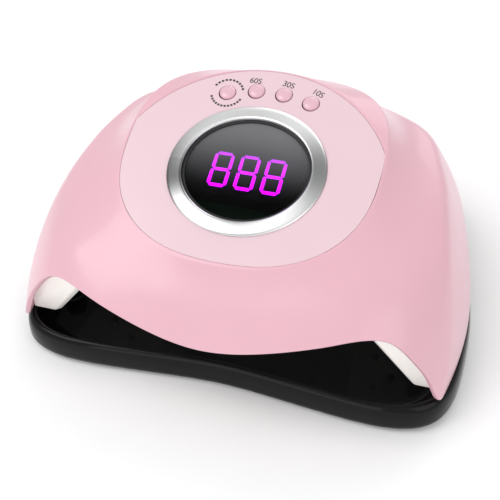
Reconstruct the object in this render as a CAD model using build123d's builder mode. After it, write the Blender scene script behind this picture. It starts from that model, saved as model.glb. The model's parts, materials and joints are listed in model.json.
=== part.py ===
from build123d import *
import os
from math import copysign, cos, hypot, pi, radians, sin

os.makedirs("parts", exist_ok=True)

# UV LED nail lamp, in millimetres.  +Z is up, the hand goes in along +Y, and the origin is the
# middle of the bounding box at the level of the feet.

# ---------------------------------------------------------------- driving dimensions
SHELL_WALL = 2.6            # thickness of the outer shell
SHELL_BOTTOM_Z = 16.4       # lower edge of the head, just above the tray's rim
DECK_WALL = 3.6             # thickness of the top skin, measured straight down
LINER_FIT = 0.25            # gap between the liner and the shell around it

WALL_HALF_WIDTH = 108.5     # widest half-width of the shell, at its lower edge
WALL_REAR_Y = 100.0         # rear of the shell, at its lower edge
WALL_LEAN = 20.0            # how far the side walls lean in over the lean height
WALL_REAR_SHRINK = 0.44     # share of the rear half that is lost over the lean height
LEAN_START_Z = 18.0
LEAN_HEIGHT = 62.0
WALL_LEVELS = (6.0, 20.0, 34.0, 50.0, 66.0, 80.0, 96.0)

DECK_PROFILE = [            # (y, z) of the top skin on the centre line, from visor to rear
    (-125.0, 20.0), (-112.0, 37.0), (-102.5, 47.0), (-90.0, 59.0), (-76.0, 68.5),
    (-50.0, 76.5), (-20.0, 81.0), (10.0, 83.0), (35.0, 82.0), (60.0, 77.0), (112.0, 58.0),
]
DECK_FALL = 14.0            # fall of the top skin at 100 mm off centre
DECK_FRONT_FALL = 24.0      # extra fall there, 80 mm in front of the origin
DECK_FALL_POWER = 6.4       # keeps the top skin flat in the middle and round at the sides
DECK_REACH = 114.0
DECK_FLOOR_Z = -260.0       # well below the lowest point of the falling skin

VISOR_EDGE = [              # (x, z) of the lip over the hand opening, from centre to tip
    (0.0, 47.0), (30.0, 50.3), (55.0, 55.4), (70.0, 57.0),
    (82.0, 52.5), (92.0, 41.0), (99.0, 28.0), (103.4, 15.0),
]
VISOR_CUT_REAR_Y = -62.0

PANEL_TILT = 19.6           # the control panel leans towards the user
PANEL_ORIGIN = (0.0, -28.5, 88.5)      # centre of the display ring, on the panel's face
PANEL_HALF_WIDTH = 61.6      # the panel's crisp edge, a rounded egg
PANEL_FRONT_V = -49.0
PANEL_REAR_V = 73.8          # where that edge would close behind the fold
PANEL_WIDEST_V = 8.0
PANEL_POWER = 2.37           # squareness of that edge
FOLD_CENTRE_V = -11.3        # behind this circle the panel folds down to the rear
FOLD_RADIUS = 68.2
FOLD_DEPTH = 60.0            # the fold's cone is followed this far below the panel
FOLD_GROWTH = 6.7            # growth of the cone's radius for each mm of depth
FOLD_SHIFT = 5.8             # forward shift of its centre for each mm of depth
PANEL_RIM = 0.8              # rim of shell left around the panel inlay
PANEL_THICKNESS = 1.6
PANEL_SEAT = 2.4             # thickness of the shell under the panel inlay

PEDESTAL_TILT = 10.5         # tilt of the sections through the pedestal's skirt
PEDESTAL_FRONT_Y = -75.0
PEDESTAL_FRONT_Z = 69.2
PEDESTAL_REAR_Y = 41.0
PEDESTAL_WIDEST_Y = -21.0
PEDESTAL_SKIRT = [           # (height, growth in front, growth at the sides, growth at the rear)
    (-8.0, 12.0, 27.0, 9.0),
    (2.0, 0.8, 10.5, 3.0),
    (11.0, 0.0, 1.6, 1.0),
    (46.0, 0.0, 0.0, 0.0)]

BEZEL_OUTER = (37.3, 34.7)  # half-axes of the slightly oval display ring
BEZEL_CREST = (35.2, 32.6)
BEZEL_THROAT = (29.8, 26.8)
BEZEL_HEIGHT = 2.2
BEZEL_SKIRT = 5.4           # depth of the ring's skirt below the panel's face
BEZEL_SKIRT_OUTER = (33.0, 30.0)
BEZEL_SKIRT_INNER = (31.4, 28.4)
WINDOW_TOP = -1.0
WINDOW_THICKNESS = 1.8
SEAL_HEIGHT = 1.0

KEYS = [                    # name and place on the panel (across, up) of the four keys
    ("99s", (-20.6, 40.5)), ("60s", (-6.8, 43.4)), ("30s", (6.8, 43.4)), ("10s", (20.6, 40.5)),
]
KEY_RADIUS = 4.0
KEY_CLEARANCE = 0.3
KEY_STAND = 1.6             # height of the domed key above the panel
KEY_DOME_SIDE = 0.5         # height of the key's straight side above the panel
KEY_FLANGE_RADIUS = 5.2
KEY_FLANGE_TOP = -4.3
KEY_FLANGE_THICKNESS = 1.1
SWITCH_TOP = -8.8           # top of a key switch's body
SWITCH_HEIGHT = 3.4
SWITCH_SIDE = 6.0
PLUNGER_RADIUS = 1.7
PLUNGER_STAND = 1.6
PLUNGER_SINK = 1.4          # depth of the plunger inside the switch's body
KEY_TRAVEL = 0.6

DIGIT_HEIGHT = 18.6
DIGIT_WIDTH = 9.4
DIGIT_PITCH = 12.7
SEGMENT_WIDTH = 1.5
SEGMENT_GAP = 0.3
SEGMENT_DEPTH = 0.5
DISPLAY_TOP = -3.4
DISPLAY_SIZE = (52.0, 27.0, 8.4)
KEY_BOARD_SIZE = (72.0, 84.0)
KEY_BOARD_CENTRE_V = 8.0
KEY_POSTS = [(32.0, -27.0), (32.5, 43.0)]
BOARD_THICKNESS = 1.6

LINER_WALL = 2.0
LINER_FRONT_Y = -73.6
LINER_FLARE = 3.4            # the mouth of the hand space is this much wider at its front edge
LINER_REAR_Y = 50.0         # inside of the hand space's rear wall
TUNNEL_FRONT_FOOT = 88.0    # half-width of the hand space at its foot, at the front
TUNNEL_REAR_FOOT = 72.0
TUNNEL_LEAN = 30.0          # how far each side wall leans in over the hand space's height
TUNNEL_ROOF_Z = 54.0

BOARD_SCREW_RADIUS = 1.0
BOARD_SCREW_HEAD_RADIUS = 1.9
BOARD_SCREW_HEAD_HEIGHT = 1.2
BOARD_POST_RADIUS = 2.3

LED_RADIUS = 2.4
LED_CLEARANCE = 0.25
LED_PROUD = 1.9             # how far an LED's dome stands out of the liner
LED_BOARD_GAP = 1.0
LED_BOARD_THICKNESS = 1.2
LED_BOARDS = {              # size of each LED board, its centre and its screws' half spacing
    "roof": ((88.0, 84.0), (0.0, -7.0), (40.0, 38.0)),
    "rear": ((84.0, 22.0), (0.0, 36.0), (22.0, 0.0)),
    "left": ((104.0, 28.0), (72.0, -22.0), (31.5, 0.0)),
    "right": ((104.0, 28.0), (72.0, 22.0), (31.5, 0.0)),
}
SENSOR_X = 9.0
SENSOR_Y = -62.0

TRAY_OUTLINE = [            # (x, y) of the tray's widest outline, from the front middle to the rear
    (0.0, -86.5), (30.0, -88.3), (52.0, -90.2), (72.0, -91.2), (90.0, -89.2), (101.5, -83.0), (107.6, -72.0),
    (110.3, -52.0), (110.3, -30.0), (106.8, -2.0), (101.2, 27.0), (91.5, 58.0), (61.0, 84.5), (0.0, 102.5)]
TRAY_HALF_WIDTH = 110.5
TRAY_HALF_DEPTH = 95.0
TRAY_BOTTOM_Z = 1.6
TRAY_FLOOR = 2.4
TRAY_RIM_Z = 16.0
TRAY_OUTSIDE = [            # (z, inset) of the tray's outer wall, up to the middle of its rim
    (TRAY_BOTTOM_Z, 1.6), (3.0, 0.3), (5.0, 0.0), (10.0, 0.3), (13.6, 1.0), (15.4, 2.2), (TRAY_RIM_Z, 3.6)]
TRAY_INSIDE = [             # (z, inset) of its inner wall, from the floor up
    (TRAY_BOTTOM_Z + TRAY_FLOOR, 13.0), (5.2, 10.0), (9.0, 7.4), (13.5, 5.6), (15.4, 4.6), (TRAY_RIM_Z, 3.7)]
FOOT_RADIUS = 7.0
FOOT_SINK = 0.8
FOOT_PLACES = [(80.0, -68.0), (66.0, 50.0)]

MAGNET_RADIUS = 4.0
MAGNET_THICKNESS = 2.4
MAGNET_POST_RADIUS = 5.6
MAGNET_GAP = 0.4            # air between a tray magnet and the head magnet over it
MAGNET_PLACES = [(94.0, -50.0), (58.0, 64.0)]

SCREW_PLACES = [(95.0, -24.0), (90.0, 20.0), (40.0, 78.0)]
SCREW_POST_RADIUS = 4.2
SCREW_RADIUS = 1.5
SCREW_HEAD_RADIUS = 3.0
SCREW_HEAD_HEIGHT = 2.0
SCREW_LENGTH = 12.0
PLATE_BOSS_HEIGHT = 4.0

DRIVER_BOARD = (60.0, 26.0)
DRIVER_BOARD_Y = 70.5
DRIVER_BOARD_Z = 21.4
JACK_Z = 30.5
JACK_RADIUS = 5.4
JACK_BORE = 3.1
JACK_PIN_RADIUS = 1.05
JACK_FLANGE_RADIUS = 7.0
JACK_PAD_RADIUS = 10.0
JACK_PAD_Y = 96.0
JACK_LENGTH = 16.0

KEY_BOARD_TOP = SWITCH_TOP - SWITCH_HEIGHT
PANEL = Plane(origin=PANEL_ORIGIN, x_dir=(1, 0, 0),
              z_dir=(0, -sin(radians(PANEL_TILT)), cos(radians(PANEL_TILT))))


# ---------------------------------------------------------------- helpers
def save(piece, name):
    piece.label = name
    export_step(piece, f"parts/{name}.step")


def both_sides(places):
    return [(side * x, y) for side in (-1, 1) for x, y in places]


def on_panel(height):
    """Plane parallel to the control panel, this far above its face."""
    return PANEL.offset(height)


def lean(z):
    return WALL_LEAN * (max(0.0, z - LEAN_START_Z) / LEAN_HEIGHT) ** 1.6


def rear_scale(z):
    return 1.0 - WALL_REAR_SHRINK * (max(0.0, z - LEAN_START_Z) / LEAN_HEIGHT) ** 1.15


def wall_points(z, inset):
    """Right half of the side wall's outline at height z, from the front to the rear."""
    side = 1.0 - (lean(z) + inset) / WALL_HALF_WIDTH
    rear = rear_scale(z) - inset / WALL_REAR_Y
    return [(97.0 * side, -112.0), (104.0 * side, -76.0), (108.5 * side, -30.0), (100.0 * side, 25.0 * rear),
            (89.5 * side, 57.0 * rear), (60.0 * side, 82.0 * rear), (0.0, WALL_REAR_Y * rear)]


def deck_fall(x, y):
    front = (max(0.0, -10.0 - y) / 70.0) ** 2
    return (DECK_FALL + DECK_FRONT_FALL * front) * (abs(x) / 100.0) ** DECK_FALL_POWER


def egg_points(half_width, front, rear, widest, power):
    """Closed loop of 20 points of a rounded egg, squarer with a higher power."""
    points = []
    for step in range(20):
        across = cos(2 * pi * step / 20)
        along = sin(2 * pi * step / 20)
        reach = rear - widest if along > 0 else widest - front
        x = half_width * copysign(abs(across) ** (2.0 / power), across)
        y = widest + reach * copysign(abs(along) ** (2.0 / power), along)
        points.append((x, y))
    return points


def panel_face(inset):
    """Face of the control panel, set in from its edge."""
    with BuildSketch() as face:
        with BuildLine():
            Spline(egg_points(PANEL_HALF_WIDTH - inset, PANEL_FRONT_V + inset, PANEL_REAR_V - inset,
                              PANEL_WIDEST_V, PANEL_POWER), periodic=True)
        make_face()
        with Locations((0, FOLD_CENTRE_V)):
            Circle(FOLD_RADIUS - inset, mode=Mode.INTERSECT)
    return face.sketch


# ---------------------------------------------------------------- bodies of the head
def wall_solid(inset):
    """Everything inside the leaning side walls."""
    with BuildPart() as solid:
        for z in WALL_LEVELS:
            with BuildSketch(Plane.XY.offset(z)):
                with BuildLine():
                    points = wall_points(z, inset)
                    Spline(points, tangents=[(0.12, 1.0), (-1.0, 0.0)])
                    Line(points[0], (0.0, points[0][1]))
                    mirror(about=Plane.YZ)
                make_face()
        loft()
    return solid.part


def deck_solid(drop):
    """Everything under the curved top skin, lowered by drop."""
    half = [DECK_REACH * share for share in (0.0, 0.3, 0.6, 0.75, 0.87, 1.0)]
    across = [-x for x in reversed(half[1:])] + half
    with BuildPart() as solid:
        for y, z in DECK_PROFILE:
            with BuildSketch(Plane.XZ.offset(-y)):
                with BuildLine():
                    skin = [(x, z - drop - deck_fall(x, y)) for x in across]
                    Spline(skin)
                    Polyline(skin[-1], (DECK_REACH, DECK_FLOOR_Z), (-DECK_REACH, DECK_FLOOR_Z), skin[0])
                make_face()
        loft()
    return solid.part


def pedestal_solid(inset, drop):
    """The pedestal of the control panel, with its flared skirt, cut by the panel and its fold."""
    tilt = radians(PEDESTAL_TILT)
    level = Plane(origin=(0, 0, PEDESTAL_FRONT_Z - PEDESTAL_FRONT_Y * sin(tilt) / cos(tilt) - drop * 0.6),
                  x_dir=(1, 0, 0), z_dir=(0, -sin(tilt), cos(tilt)))
    with BuildPart() as solid:
        for height, front, side, rear in PEDESTAL_SKIRT:
            with BuildSketch(level.offset(height)):
                with BuildLine():
                    Spline(egg_points(PANEL_HALF_WIDTH - inset + side, PEDESTAL_FRONT_Y + inset - front,
                                      PEDESTAL_REAR_Y - inset + rear, PEDESTAL_WIDEST_Y, PANEL_POWER),
                           periodic=True)
                make_face()
        loft(ruled=True)
        with BuildSketch(on_panel(-drop)):
            with Locations((0, FOLD_CENTRE_V)):
                Circle(FOLD_RADIUS)
        with BuildSketch(on_panel(-drop - FOLD_DEPTH)):
            with Locations((0, FOLD_CENTRE_V - FOLD_SHIFT * FOLD_DEPTH)):
                Circle(FOLD_RADIUS + FOLD_GROWTH * FOLD_DEPTH)
        loft(ruled=True, mode=Mode.INTERSECT)
    return solid.part


with BuildPart() as head_body:
    add(wall_solid(0.0))
    add(deck_solid(0.0), mode=Mode.INTERSECT)
    split(bisect_by=Plane.XY.offset(SHELL_BOTTOM_Z), keep=Keep.TOP)
    add(pedestal_solid(0.0, 0.0))

with BuildPart() as head_space:
    add(wall_solid(SHELL_WALL))
    add(deck_solid(DECK_WALL), mode=Mode.INTERSECT)
    add(pedestal_solid(SHELL_WALL, PANEL_THICKNESS + PANEL_SEAT))

with BuildPart() as visor_cut:
    with BuildSketch(Plane.XZ.offset(-VISOR_CUT_REAR_Y)):
        with BuildLine():
            lip = [(-x, z) for x, z in reversed(VISOR_EDGE[1:])] + VISOR_EDGE
            Spline(lip)
            Polyline(lip[-1], (lip[-1][0], 0.0), (lip[0][0], 0.0), lip[0])
        make_face()
    extrude(amount=80.0)


# ---------------------------------------------------------------- the hand space
ROOF_RISE = TUNNEL_ROOF_Z - SHELL_BOTTOM_Z
TUNNEL_TAPER = (TUNNEL_FRONT_FOOT - TUNNEL_REAR_FOOT) / (LINER_REAR_Y - LINER_FRONT_Y)


def tunnel_solid(skin, front_y, rear_y, foot_z, flare=0.0):
    """Hand space with flat leaning sides, grown outwards by skin, and by flare at its front end."""
    slope = TUNNEL_LEAN / ROOF_RISE
    grow = skin * hypot(1.0, slope)
    with BuildPart() as solid:
        for y in (front_y, rear_y):
            mouth = flare if y == front_y else 0.0
            half_foot = TUNNEL_FRONT_FOOT - TUNNEL_TAPER * (y - LINER_FRONT_Y) + grow + mouth
            foot = half_foot + slope * (SHELL_BOTTOM_Z - foot_z)
            roof = half_foot - slope * (ROOF_RISE + skin)
            with BuildSketch(Plane.XZ.offset(-y)):
                with BuildLine():
                    Polyline((-foot, foot_z), (foot, foot_z), (roof, TUNNEL_ROOF_Z + skin + mouth / 2),
                             (-roof, TUNNEL_ROOF_Z + skin + mouth / 2), close=True)
                make_face()
        loft()
    return solid.part


def side_plane(side, skin):
    """Plane on a side wall of the hand space, skin outside it; X runs to the rear, Y upwards."""
    grow = skin * hypot(1.0, TUNNEL_LEAN / ROOF_RISE)
    origin = Vector(side * (TUNNEL_FRONT_FOOT + grow), LINER_FRONT_Y, SHELL_BOTTOM_Z)
    rearward = Vector(-side * TUNNEL_TAPER, 1.0, 0.0).normalized()
    upward = Vector(-side * TUNNEL_LEAN, 0.0, ROOF_RISE).normalized()
    outward = rearward.cross(upward) * side
    return Plane(origin=origin, x_dir=rearward, z_dir=outward)


def screw_spots(centre, spacing):
    """Screw places around a board's centre: four corners, or two where a spacing is zero."""
    spots = {(centre[0] + a * spacing[0], centre[1] + b * spacing[1])
             for a in (-1, 1) for b in (-1, 1)}
    return sorted(spots)


def side_leds():
    """Places of the LEDs along one side wall, in the side plane."""
    return [(30.0 + 21.0 * column, row) for column in range(5) for row in (15.0, 29.0)]


ROOF_LEDS = [(x, y) for x in (-33.0, -11.0, 11.0, 33.0) for y in (-37.0, -8.0, 21.0)]
REAR_LEDS = [(x, 36.0) for x in (-33.0, -11.0, 11.0, 33.0)]
DRIVER_SPOTS = screw_spots((0.0, DRIVER_BOARD_Y), (27.0, 10.0))
ROOF_SKIN = Plane.XY.offset(TUNNEL_ROOF_Z + LINER_WALL)
REAR_SKIN = Plane.XZ.offset(-LINER_REAR_Y - LINER_WALL)


def led_walls():
    """Each wall with LEDs: its outer plane (+Z away from the hand) and the LEDs' places on it."""
    roof = (ROOF_SKIN, ROOF_LEDS)
    rear = (Plane(origin=REAR_SKIN.origin, x_dir=(-1, 0, 0), z_dir=(0, 1, 0)),
            [(-x, z) for x, z in REAR_LEDS])
    left = (side_plane(-1, LINER_WALL), [(x, -y) for x, y in side_leds()])
    right = (side_plane(1, LINER_WALL), side_leds())
    return {"roof": roof, "rear": rear, "left": left, "right": right}


LED_WALLS = led_walls()


# ---------------------------------------------------------------- outer shell
with BuildPart() as shell_posts:
    with BuildSketch(Plane.XY.offset(SHELL_BOTTOM_Z + PLATE_BOSS_HEIGHT)):
        with Locations(*both_sides(SCREW_PLACES)):
            Circle(SCREW_POST_RADIUS)
    extrude(amount=70.0)
    with BuildSketch(Plane.XZ.offset(-JACK_PAD_Y)):
        with Locations((0, JACK_Z)):
            Circle(JACK_PAD_RADIUS)
    extrude(amount=12.0)

with BuildPart() as post_room:
    add(wall_solid(SHELL_WALL / 2))
    add(deck_solid(DECK_WALL / 2), mode=Mode.INTERSECT)
    with BuildSketch(Plane.XZ.offset(-JACK_PAD_Y)):
        with Locations((0, JACK_Z)):
            Circle(JACK_PAD_RADIUS)
    extrude(amount=12.0)

with BuildPart() as outer_shell:
    add(head_body.part)
    add(head_space.part, mode=Mode.SUBTRACT)
    add(visor_cut.part, mode=Mode.SUBTRACT)
    add(shell_posts.part & post_room.part)
    with BuildSketch(on_panel(-PANEL_THICKNESS)):
        add(panel_face(PANEL_RIM))
    extrude(amount=8.0, mode=Mode.SUBTRACT)
    with BuildSketch(on_panel(-PANEL_THICKNESS - PANEL_SEAT - 4.0)):
        Ellipse(BEZEL_SKIRT_OUTER[0] + LINER_FIT, BEZEL_SKIRT_OUTER[1] + LINER_FIT)
        for key_name, seat in KEYS:
            with Locations(seat):
                Circle(KEY_RADIUS + KEY_CLEARANCE)
    extrude(amount=8.0, mode=Mode.SUBTRACT)
    with BuildSketch(on_panel(KEY_BOARD_TOP)):
        with Locations(*both_sides(KEY_POSTS)):
            Circle(BOARD_POST_RADIUS)
    extrude(amount=-PANEL_THICKNESS - PANEL_SEAT / 2 - KEY_BOARD_TOP)
    with BuildSketch(on_panel(KEY_BOARD_TOP)):
        with Locations(*both_sides(KEY_POSTS)):
            Circle(BOARD_SCREW_RADIUS + 0.05)
    extrude(amount=5.0, mode=Mode.SUBTRACT)
    with BuildSketch(Plane.XY.offset(SHELL_BOTTOM_Z)):
        with Locations(*both_sides(SCREW_PLACES)):
            Circle(SCREW_RADIUS + 0.05)
    extrude(amount=SCREW_LENGTH + 4.0, mode=Mode.SUBTRACT)
    with BuildSketch(Plane.XZ.offset(-JACK_PAD_Y)):
        with Locations((0, JACK_Z)):
            Circle(JACK_RADIUS + 0.05)
    extrude(amount=30.0, mode=Mode.SUBTRACT)
    with BuildSketch(Plane.XZ.offset(-JACK_PAD_Y)):
        with Locations((0, JACK_Z)):
            Circle(JACK_PAD_RADIUS)
    extrude(amount=-10.0, mode=Mode.SUBTRACT)
    with BuildSketch(Plane.XZ.offset(-JACK_PAD_Y - 8.0)):
        with Locations((0, 54.0)):
            with GridLocations(6.4, 1, 9, 1):
                SlotOverall(15.0, 2.4, rotation=90)
    extrude(amount=50.0, mode=Mode.SUBTRACT)
save(outer_shell.part, "outer_shell")


# ---------------------------------------------------------------- control panel
with BuildPart() as control_panel:
    with BuildSketch(on_panel(-PANEL_THICKNESS)):
        add(panel_face(PANEL_RIM + 0.1))
        Ellipse(BEZEL_SKIRT_OUTER[0] + 0.1, BEZEL_SKIRT_OUTER[1] + 0.1, mode=Mode.SUBTRACT)
        for key_name, seat in KEYS:
            with Locations(seat):
                Circle(KEY_RADIUS + KEY_CLEARANCE, mode=Mode.SUBTRACT)
    extrude(amount=PANEL_THICKNESS)
save(control_panel.part, "control_panel")

with BuildPart() as display_bezel:
    for height, axes in ((0.0, BEZEL_OUTER), (BEZEL_HEIGHT, BEZEL_CREST)):
        with BuildSketch(on_panel(height)):
            Ellipse(*axes)
    loft(ruled=True)
    with BuildSketch(on_panel(-BEZEL_SKIRT)):
        Ellipse(*BEZEL_SKIRT_OUTER)
    extrude(amount=BEZEL_SKIRT)
    for height, axes in ((WINDOW_TOP + SEAL_HEIGHT, BEZEL_THROAT), (BEZEL_HEIGHT, BEZEL_CREST)):
        with BuildSketch(on_panel(height)):
            Ellipse(axes[0] - 0.6 * (height > 0), axes[1] - 0.6 * (height > 0))
    loft(ruled=True, mode=Mode.SUBTRACT)
    with BuildSketch(on_panel(-BEZEL_SKIRT)):
        Ellipse(*BEZEL_SKIRT_INNER)
    extrude(amount=BEZEL_SKIRT + WINDOW_TOP + SEAL_HEIGHT, mode=Mode.SUBTRACT)
save(display_bezel.part, "display_bezel")

with BuildPart() as window_seal:
    with BuildSketch(on_panel(WINDOW_TOP)):
        Ellipse(*BEZEL_SKIRT_INNER)
        Ellipse(BEZEL_THROAT[0] - 0.7, BEZEL_THROAT[1] - 0.7, mode=Mode.SUBTRACT)
    extrude(amount=SEAL_HEIGHT)
save(window_seal.part, "window_seal")

with BuildPart() as display_window:
    with BuildSketch(on_panel(WINDOW_TOP - WINDOW_THICKNESS)):
        Ellipse(BEZEL_SKIRT_INNER[0] - 0.05, BEZEL_SKIRT_INNER[1] - 0.05)
    extrude(amount=WINDOW_THICKNESS)
save(display_window.part, "display_window")


# ---------------------------------------------------------------- three-digit display
def bar(length, width):
    """Outline of one segment, pointed at both ends."""
    tip = width / 2
    body = length / 2 - tip
    return [(-body, -tip), (body, -tip), (length / 2, 0.0), (body, tip), (-body, tip),
            (-length / 2, 0.0)]


def segment_places(centre_x):
    """Centre and turn of the seven segments of one digit."""
    across = (DIGIT_WIDTH - SEGMENT_WIDTH) / 2
    rise = (DIGIT_HEIGHT - SEGMENT_WIDTH) / 2
    level = [(centre_x, y, 0.0) for y in (-rise, 0.0, rise)]
    upright = [(centre_x + side * across, half * rise / 2, 90.0)
               for side in (-1, 1) for half in (-1, 1)]
    return level, upright


with BuildPart() as display_module:
    with BuildSketch(on_panel(DISPLAY_TOP - DISPLAY_SIZE[2])):
        Rectangle(DISPLAY_SIZE[0], DISPLAY_SIZE[1])
    extrude(amount=DISPLAY_SIZE[2])
    chamfer(display_module.edges().filter_by(Axis.X).group_by(Axis.Z)[-1], 0.4)

level_length = DIGIT_WIDTH - SEGMENT_WIDTH - 2 * SEGMENT_GAP
upright_length = (DIGIT_HEIGHT - SEGMENT_WIDTH) / 2 - 2 * SEGMENT_GAP
with BuildPart() as digit_segments:
    with BuildSketch(on_panel(DISPLAY_TOP - SEGMENT_DEPTH)):
        for digit in (-1, 0, 1):
            level, upright = segment_places(digit * DIGIT_PITCH)
            for length, seats in ((level_length, level), (upright_length, upright)):
                for x, y, turn in seats:
                    with Locations(Location((x, y, 0), (0, 0, turn))):
                        Polygon(*bar(length, SEGMENT_WIDTH))
    extrude(amount=SEGMENT_DEPTH + 0.2)
save(digit_segments.part, "digit_segments")

with BuildPart() as display_module_cut:
    add(display_module.part)
    add(digit_segments.part, mode=Mode.SUBTRACT)
save(display_module_cut.part, "display_module")


# ---------------------------------------------------------------- keys and their switches
with BuildPart() as key_board:
    with BuildSketch(on_panel(KEY_BOARD_TOP - BOARD_THICKNESS)):
        with Locations((0, KEY_BOARD_CENTRE_V)):
            RectangleRounded(*KEY_BOARD_SIZE, radius=3.0)
        with Locations(*both_sides(KEY_POSTS)):
            Circle(BOARD_SCREW_RADIUS + 0.1, mode=Mode.SUBTRACT)
    extrude(amount=BOARD_THICKNESS)
save(key_board.part, "key_board")

with BuildPart() as key_switches:
    with BuildSketch(on_panel(KEY_BOARD_TOP)):
        for key_name, seat in KEYS:
            with Locations(seat):
                RectangleRounded(SWITCH_SIDE, SWITCH_SIDE, radius=0.5)
    extrude(amount=SWITCH_HEIGHT)
    with BuildSketch(on_panel(SWITCH_TOP - PLUNGER_SINK - KEY_TRAVEL - 0.2)):
        for key_name, seat in KEYS:
            with Locations(seat):
                Circle(PLUNGER_RADIUS + 0.08)
    extrude(amount=PLUNGER_SINK + KEY_TRAVEL + 1.0, mode=Mode.SUBTRACT)
save(key_switches.part, "key_switches")


def key_cap(seat):
    """Domed key with a retaining flange under the panel and a stem down to its switch."""
    base = PANEL.from_local_coords(Vector(seat[0], seat[1], 0))
    upright = Plane(origin=base, x_dir=PANEL.x_dir, z_dir=-PANEL.y_dir)
    flange_bottom = KEY_FLANGE_TOP - KEY_FLANGE_THICKNESS
    stem_bottom = SWITCH_TOP + PLUNGER_STAND
    with BuildPart() as cap:
        with BuildSketch(upright):
            with BuildLine():
                TangentArc((0, KEY_STAND), (KEY_RADIUS, KEY_DOME_SIDE), tangent=(1, 0))
                Polyline((KEY_RADIUS, KEY_DOME_SIDE), (KEY_RADIUS, KEY_FLANGE_TOP),
                         (KEY_FLANGE_RADIUS, KEY_FLANGE_TOP), (KEY_FLANGE_RADIUS, flange_bottom),
                         (PLUNGER_RADIUS, flange_bottom), (PLUNGER_RADIUS, stem_bottom),
                         (0, stem_bottom), (0, KEY_STAND))
            make_face()
        revolve(axis=Axis(base, PANEL.z_dir))
    return cap.part


def key_plunger(seat):
    """Plunger of the key's switch, from inside the switch up to the key's stem."""
    with BuildPart() as plunger:
        with BuildSketch(on_panel(SWITCH_TOP - PLUNGER_SINK)):
            with Locations(seat):
                Circle(PLUNGER_RADIUS)
        extrude(amount=PLUNGER_SINK + PLUNGER_STAND)
    return plunger.part


for key_name, seat in KEYS:
    save(key_cap(seat), f"key_{key_name}")
    save(key_plunger(seat), f"plunger_{key_name}")


# ---------------------------------------------------------------- inner liner
with BuildPart() as liner_room:
    add(wall_solid(SHELL_WALL + LINER_FIT))
    add(deck_solid(DECK_WALL + LINER_FIT), mode=Mode.INTERSECT)

with BuildPart() as inner_liner:
    add(tunnel_solid(LINER_WALL, LINER_FRONT_Y, LINER_REAR_Y + LINER_WALL, SHELL_BOTTOM_Z))
    with BuildSketch(Plane.XY.offset(SHELL_BOTTOM_Z)):
        with Locations((0, (LINER_FRONT_Y + WALL_REAR_Y) / 2)):
            Rectangle(2 * DECK_REACH, WALL_REAR_Y - LINER_FRONT_Y)
    extrude(amount=LINER_WALL)
    with BuildSketch(Plane.XZ.offset(-LINER_FRONT_Y - LINER_WALL)):
        with Locations((0, SHELL_BOTTOM_Z)):
            Rectangle(2 * DECK_REACH, 100.0, align=(Align.CENTER, Align.MIN))
    extrude(amount=LINER_WALL)
    with BuildSketch(Plane.XY.offset(SHELL_BOTTOM_Z)):
        with Locations(*both_sides(SCREW_PLACES + MAGNET_PLACES)):
            Circle(MAGNET_POST_RADIUS)
    extrude(amount=PLATE_BOSS_HEIGHT)
    add(liner_room.part, mode=Mode.INTERSECT)
    add(tunnel_solid(0.0, LINER_FRONT_Y - 1.0, LINER_REAR_Y, SHELL_BOTTOM_Z - 1.0),
        mode=Mode.SUBTRACT)
    add(tunnel_solid(0.0, LINER_FRONT_Y - 1.0, LINER_FRONT_Y + LINER_WALL, SHELL_BOTTOM_Z - 1.0, LINER_FLARE),
        mode=Mode.SUBTRACT)
    for wall_name, (wall_plane, places) in LED_WALLS.items():
        spots = screw_spots(*LED_BOARDS[wall_name][1:])
        with BuildSketch(wall_plane.offset(-0.2)):
            with Locations(*spots):
                Circle(BOARD_POST_RADIUS)
        extrude(amount=LED_BOARD_GAP + 0.2)
        with BuildSketch(wall_plane.offset(-1.4)):
            with Locations(*spots):
                Circle(BOARD_SCREW_RADIUS + 0.05)
        extrude(amount=LED_BOARD_GAP + 1.4, mode=Mode.SUBTRACT)
        with BuildSketch(wall_plane.offset(-2 * LINER_WALL)):
            with Locations(*places):
                Circle(LED_RADIUS + LED_CLEARANCE)
        extrude(amount=3 * LINER_WALL, mode=Mode.SUBTRACT)
    with BuildSketch(Plane.XY.offset(SHELL_BOTTOM_Z + LINER_WALL)):
        with Locations(*DRIVER_SPOTS):
            Circle(BOARD_POST_RADIUS)
            Circle(BOARD_SCREW_RADIUS + 0.05, mode=Mode.SUBTRACT)
    extrude(amount=DRIVER_BOARD_Z - SHELL_BOTTOM_Z - LINER_WALL)
    with BuildSketch(ROOF_SKIN.offset(-2 * LINER_WALL)):
        with Locations(*both_sides([(SENSOR_X, SENSOR_Y)])):
            Circle(LED_RADIUS + LED_CLEARANCE)
    extrude(amount=3 * LINER_WALL, mode=Mode.SUBTRACT)
    with BuildSketch(Plane.XY.offset(SHELL_BOTTOM_Z)):
        with Locations(*both_sides(MAGNET_PLACES)):
            Circle(MAGNET_RADIUS + 0.05)
        with Locations(*both_sides(SCREW_PLACES)):
            Circle(SCREW_HEAD_RADIUS + 0.2)
    extrude(amount=MAGNET_THICKNESS, mode=Mode.SUBTRACT)
    with BuildSketch(Plane.XY.offset(SHELL_BOTTOM_Z)):
        with Locations(*both_sides(SCREW_PLACES)):
            Circle(SCREW_RADIUS + 0.2)
    extrude(amount=PLATE_BOSS_HEIGHT + 1.0, mode=Mode.SUBTRACT)
save(inner_liner.part, "inner_liner")


# ---------------------------------------------------------------- LEDs, their boards, sensors
with BuildPart() as uv_leds:
    for wall_plane, places in LED_WALLS.values():
        with BuildSketch(wall_plane.offset(-LINER_WALL - LED_PROUD + LED_RADIUS)):
            with Locations(*places):
                Circle(LED_RADIUS)
        extrude(amount=LINER_WALL + LED_PROUD - LED_RADIUS + LED_BOARD_GAP)
        with Locations(wall_plane.offset(-LINER_WALL - LED_PROUD + LED_RADIUS)):
            with Locations(*places):
                Sphere(LED_RADIUS)
save(uv_leds.part, "uv_leds")

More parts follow.
